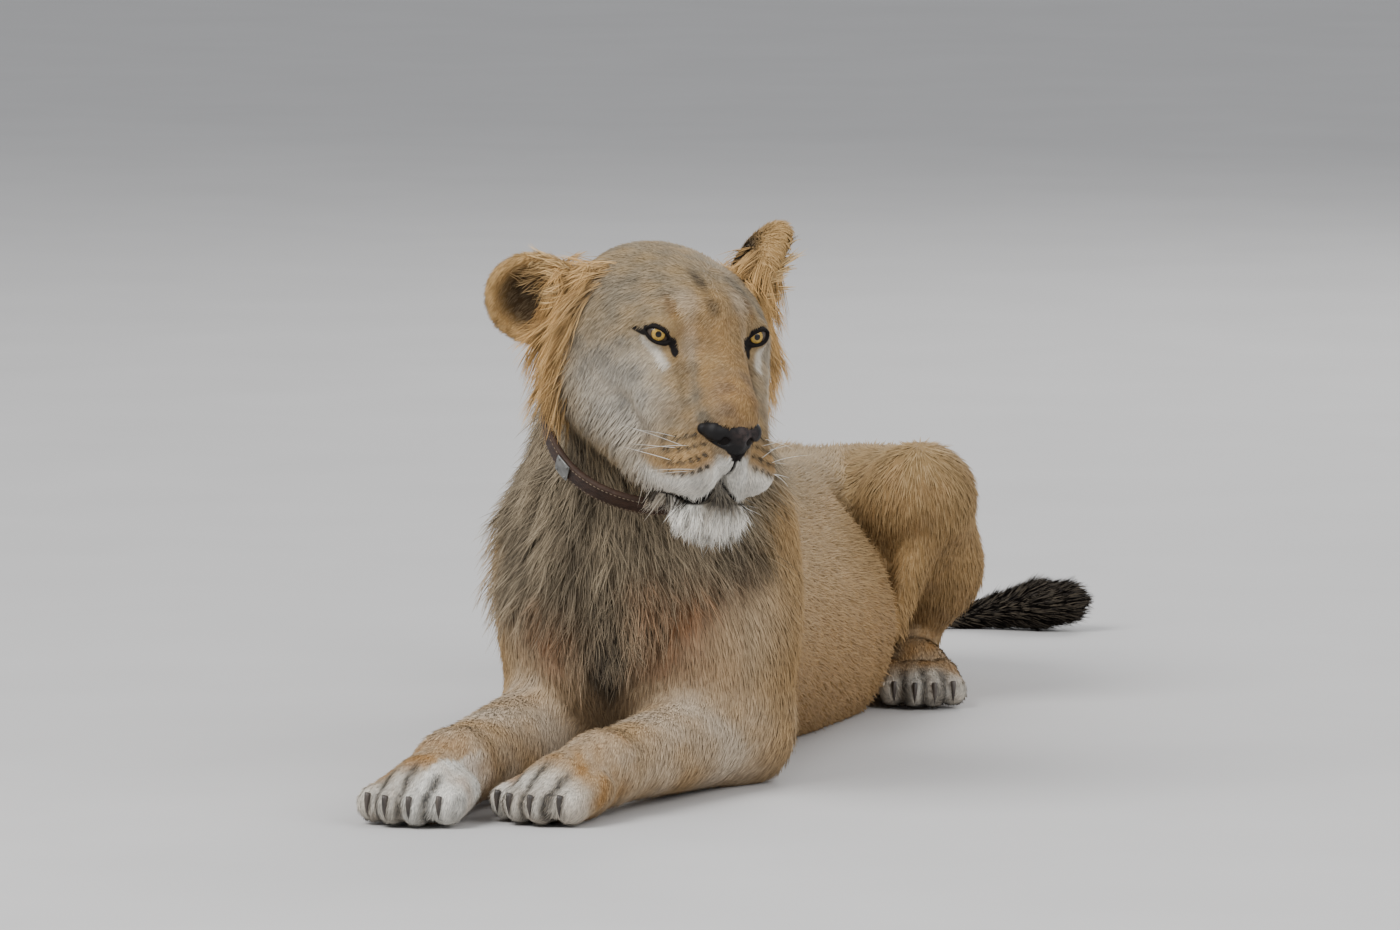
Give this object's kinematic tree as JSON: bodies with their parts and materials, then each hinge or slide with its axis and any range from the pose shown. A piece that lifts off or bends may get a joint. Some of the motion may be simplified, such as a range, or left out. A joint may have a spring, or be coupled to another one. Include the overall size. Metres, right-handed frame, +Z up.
{
  "type": "lion",
  "caption": "Life-size still model of a young male lion lying on its chest with its forelegs out, head turned to its left, mouth closed, wearing a plain leather collar.",
  "frame": {"origin": "middle of the whole model's box seen from above, at floor level", "axes": "+Z up; the trunk lies along Y with the head end toward -Y and the tail toward +Y; the lion's own left side is toward +X"},
  "size_m": [0.482, 2.2008, 0.6417],
  "materials": {
    "coat": "short flat sandy tan fur",
    "coat_pale": "short pale cream fur of the feet",
    "face": "very short greyish tan fur",
    "face_pale": "white and cream fur of the chin and jaw",
    "mane": "longer grey-brown and rust mane hair",
    "ruff": "long orange-tan hair of ears and cheeks",
    "tuft": "black tail tuft",
    "nose": "damp dark bare skin",
    "eye": "wet amber eye with a dark round pupil",
    "claw": "dark horn",
    "collar_leather": "worn dark brown leather strap",
    "collar_metal": "bare pale metal plate"
  },
  "bodies": {
    "root": {"eye_left": "eye", "eye_right": "eye", "claw_fore_left_1": "claw", "claw_fore_left_2": "claw", "claw_fore_left_3": "claw", "claw_fore_left_4": "claw", "claw_fore_right_1": "claw", "claw_fore_right_2": "claw", "claw_fore_right_3": "claw", "claw_fore_right_4": "claw", "claw_hind_left_1": "claw", "claw_hind_left_2": "claw", "claw_hind_left_3": "claw", "claw_hind_left_4": "claw", "claw_hind_right_1": "claw", "claw_hind_right_2": "claw", "claw_hind_right_3": "claw", "claw_hind_right_4": "claw", "nose": "nose", "collar": "collar_leather", "collar_plate": "collar_metal", "tail_tuft": "tuft", "tail_end": "coat", "tail_base": "coat", "head": "face", "muzzle": "face", "lower_jaw": "face_pale", "ear_left": "ruff", "ear_right": "ruff", "ruff_left": "ruff", "ruff_right": "ruff", "neck": "mane", "chest": "mane", "belly": "coat", "hips": "coat", "upper_arm_left": "coat", "forearm_left": "coat", "thigh_left": "coat", "shank_left": "coat", "fore_paw_left": "coat_pale", "hind_foot_left": "coat_pale", "upper_arm_right": "coat", "forearm_right": "coat", "thigh_right": "coat", "shank_right": "coat", "fore_paw_right": "coat_pale", "hind_foot_right": "coat_pale"}
  },
  "joints": []
}
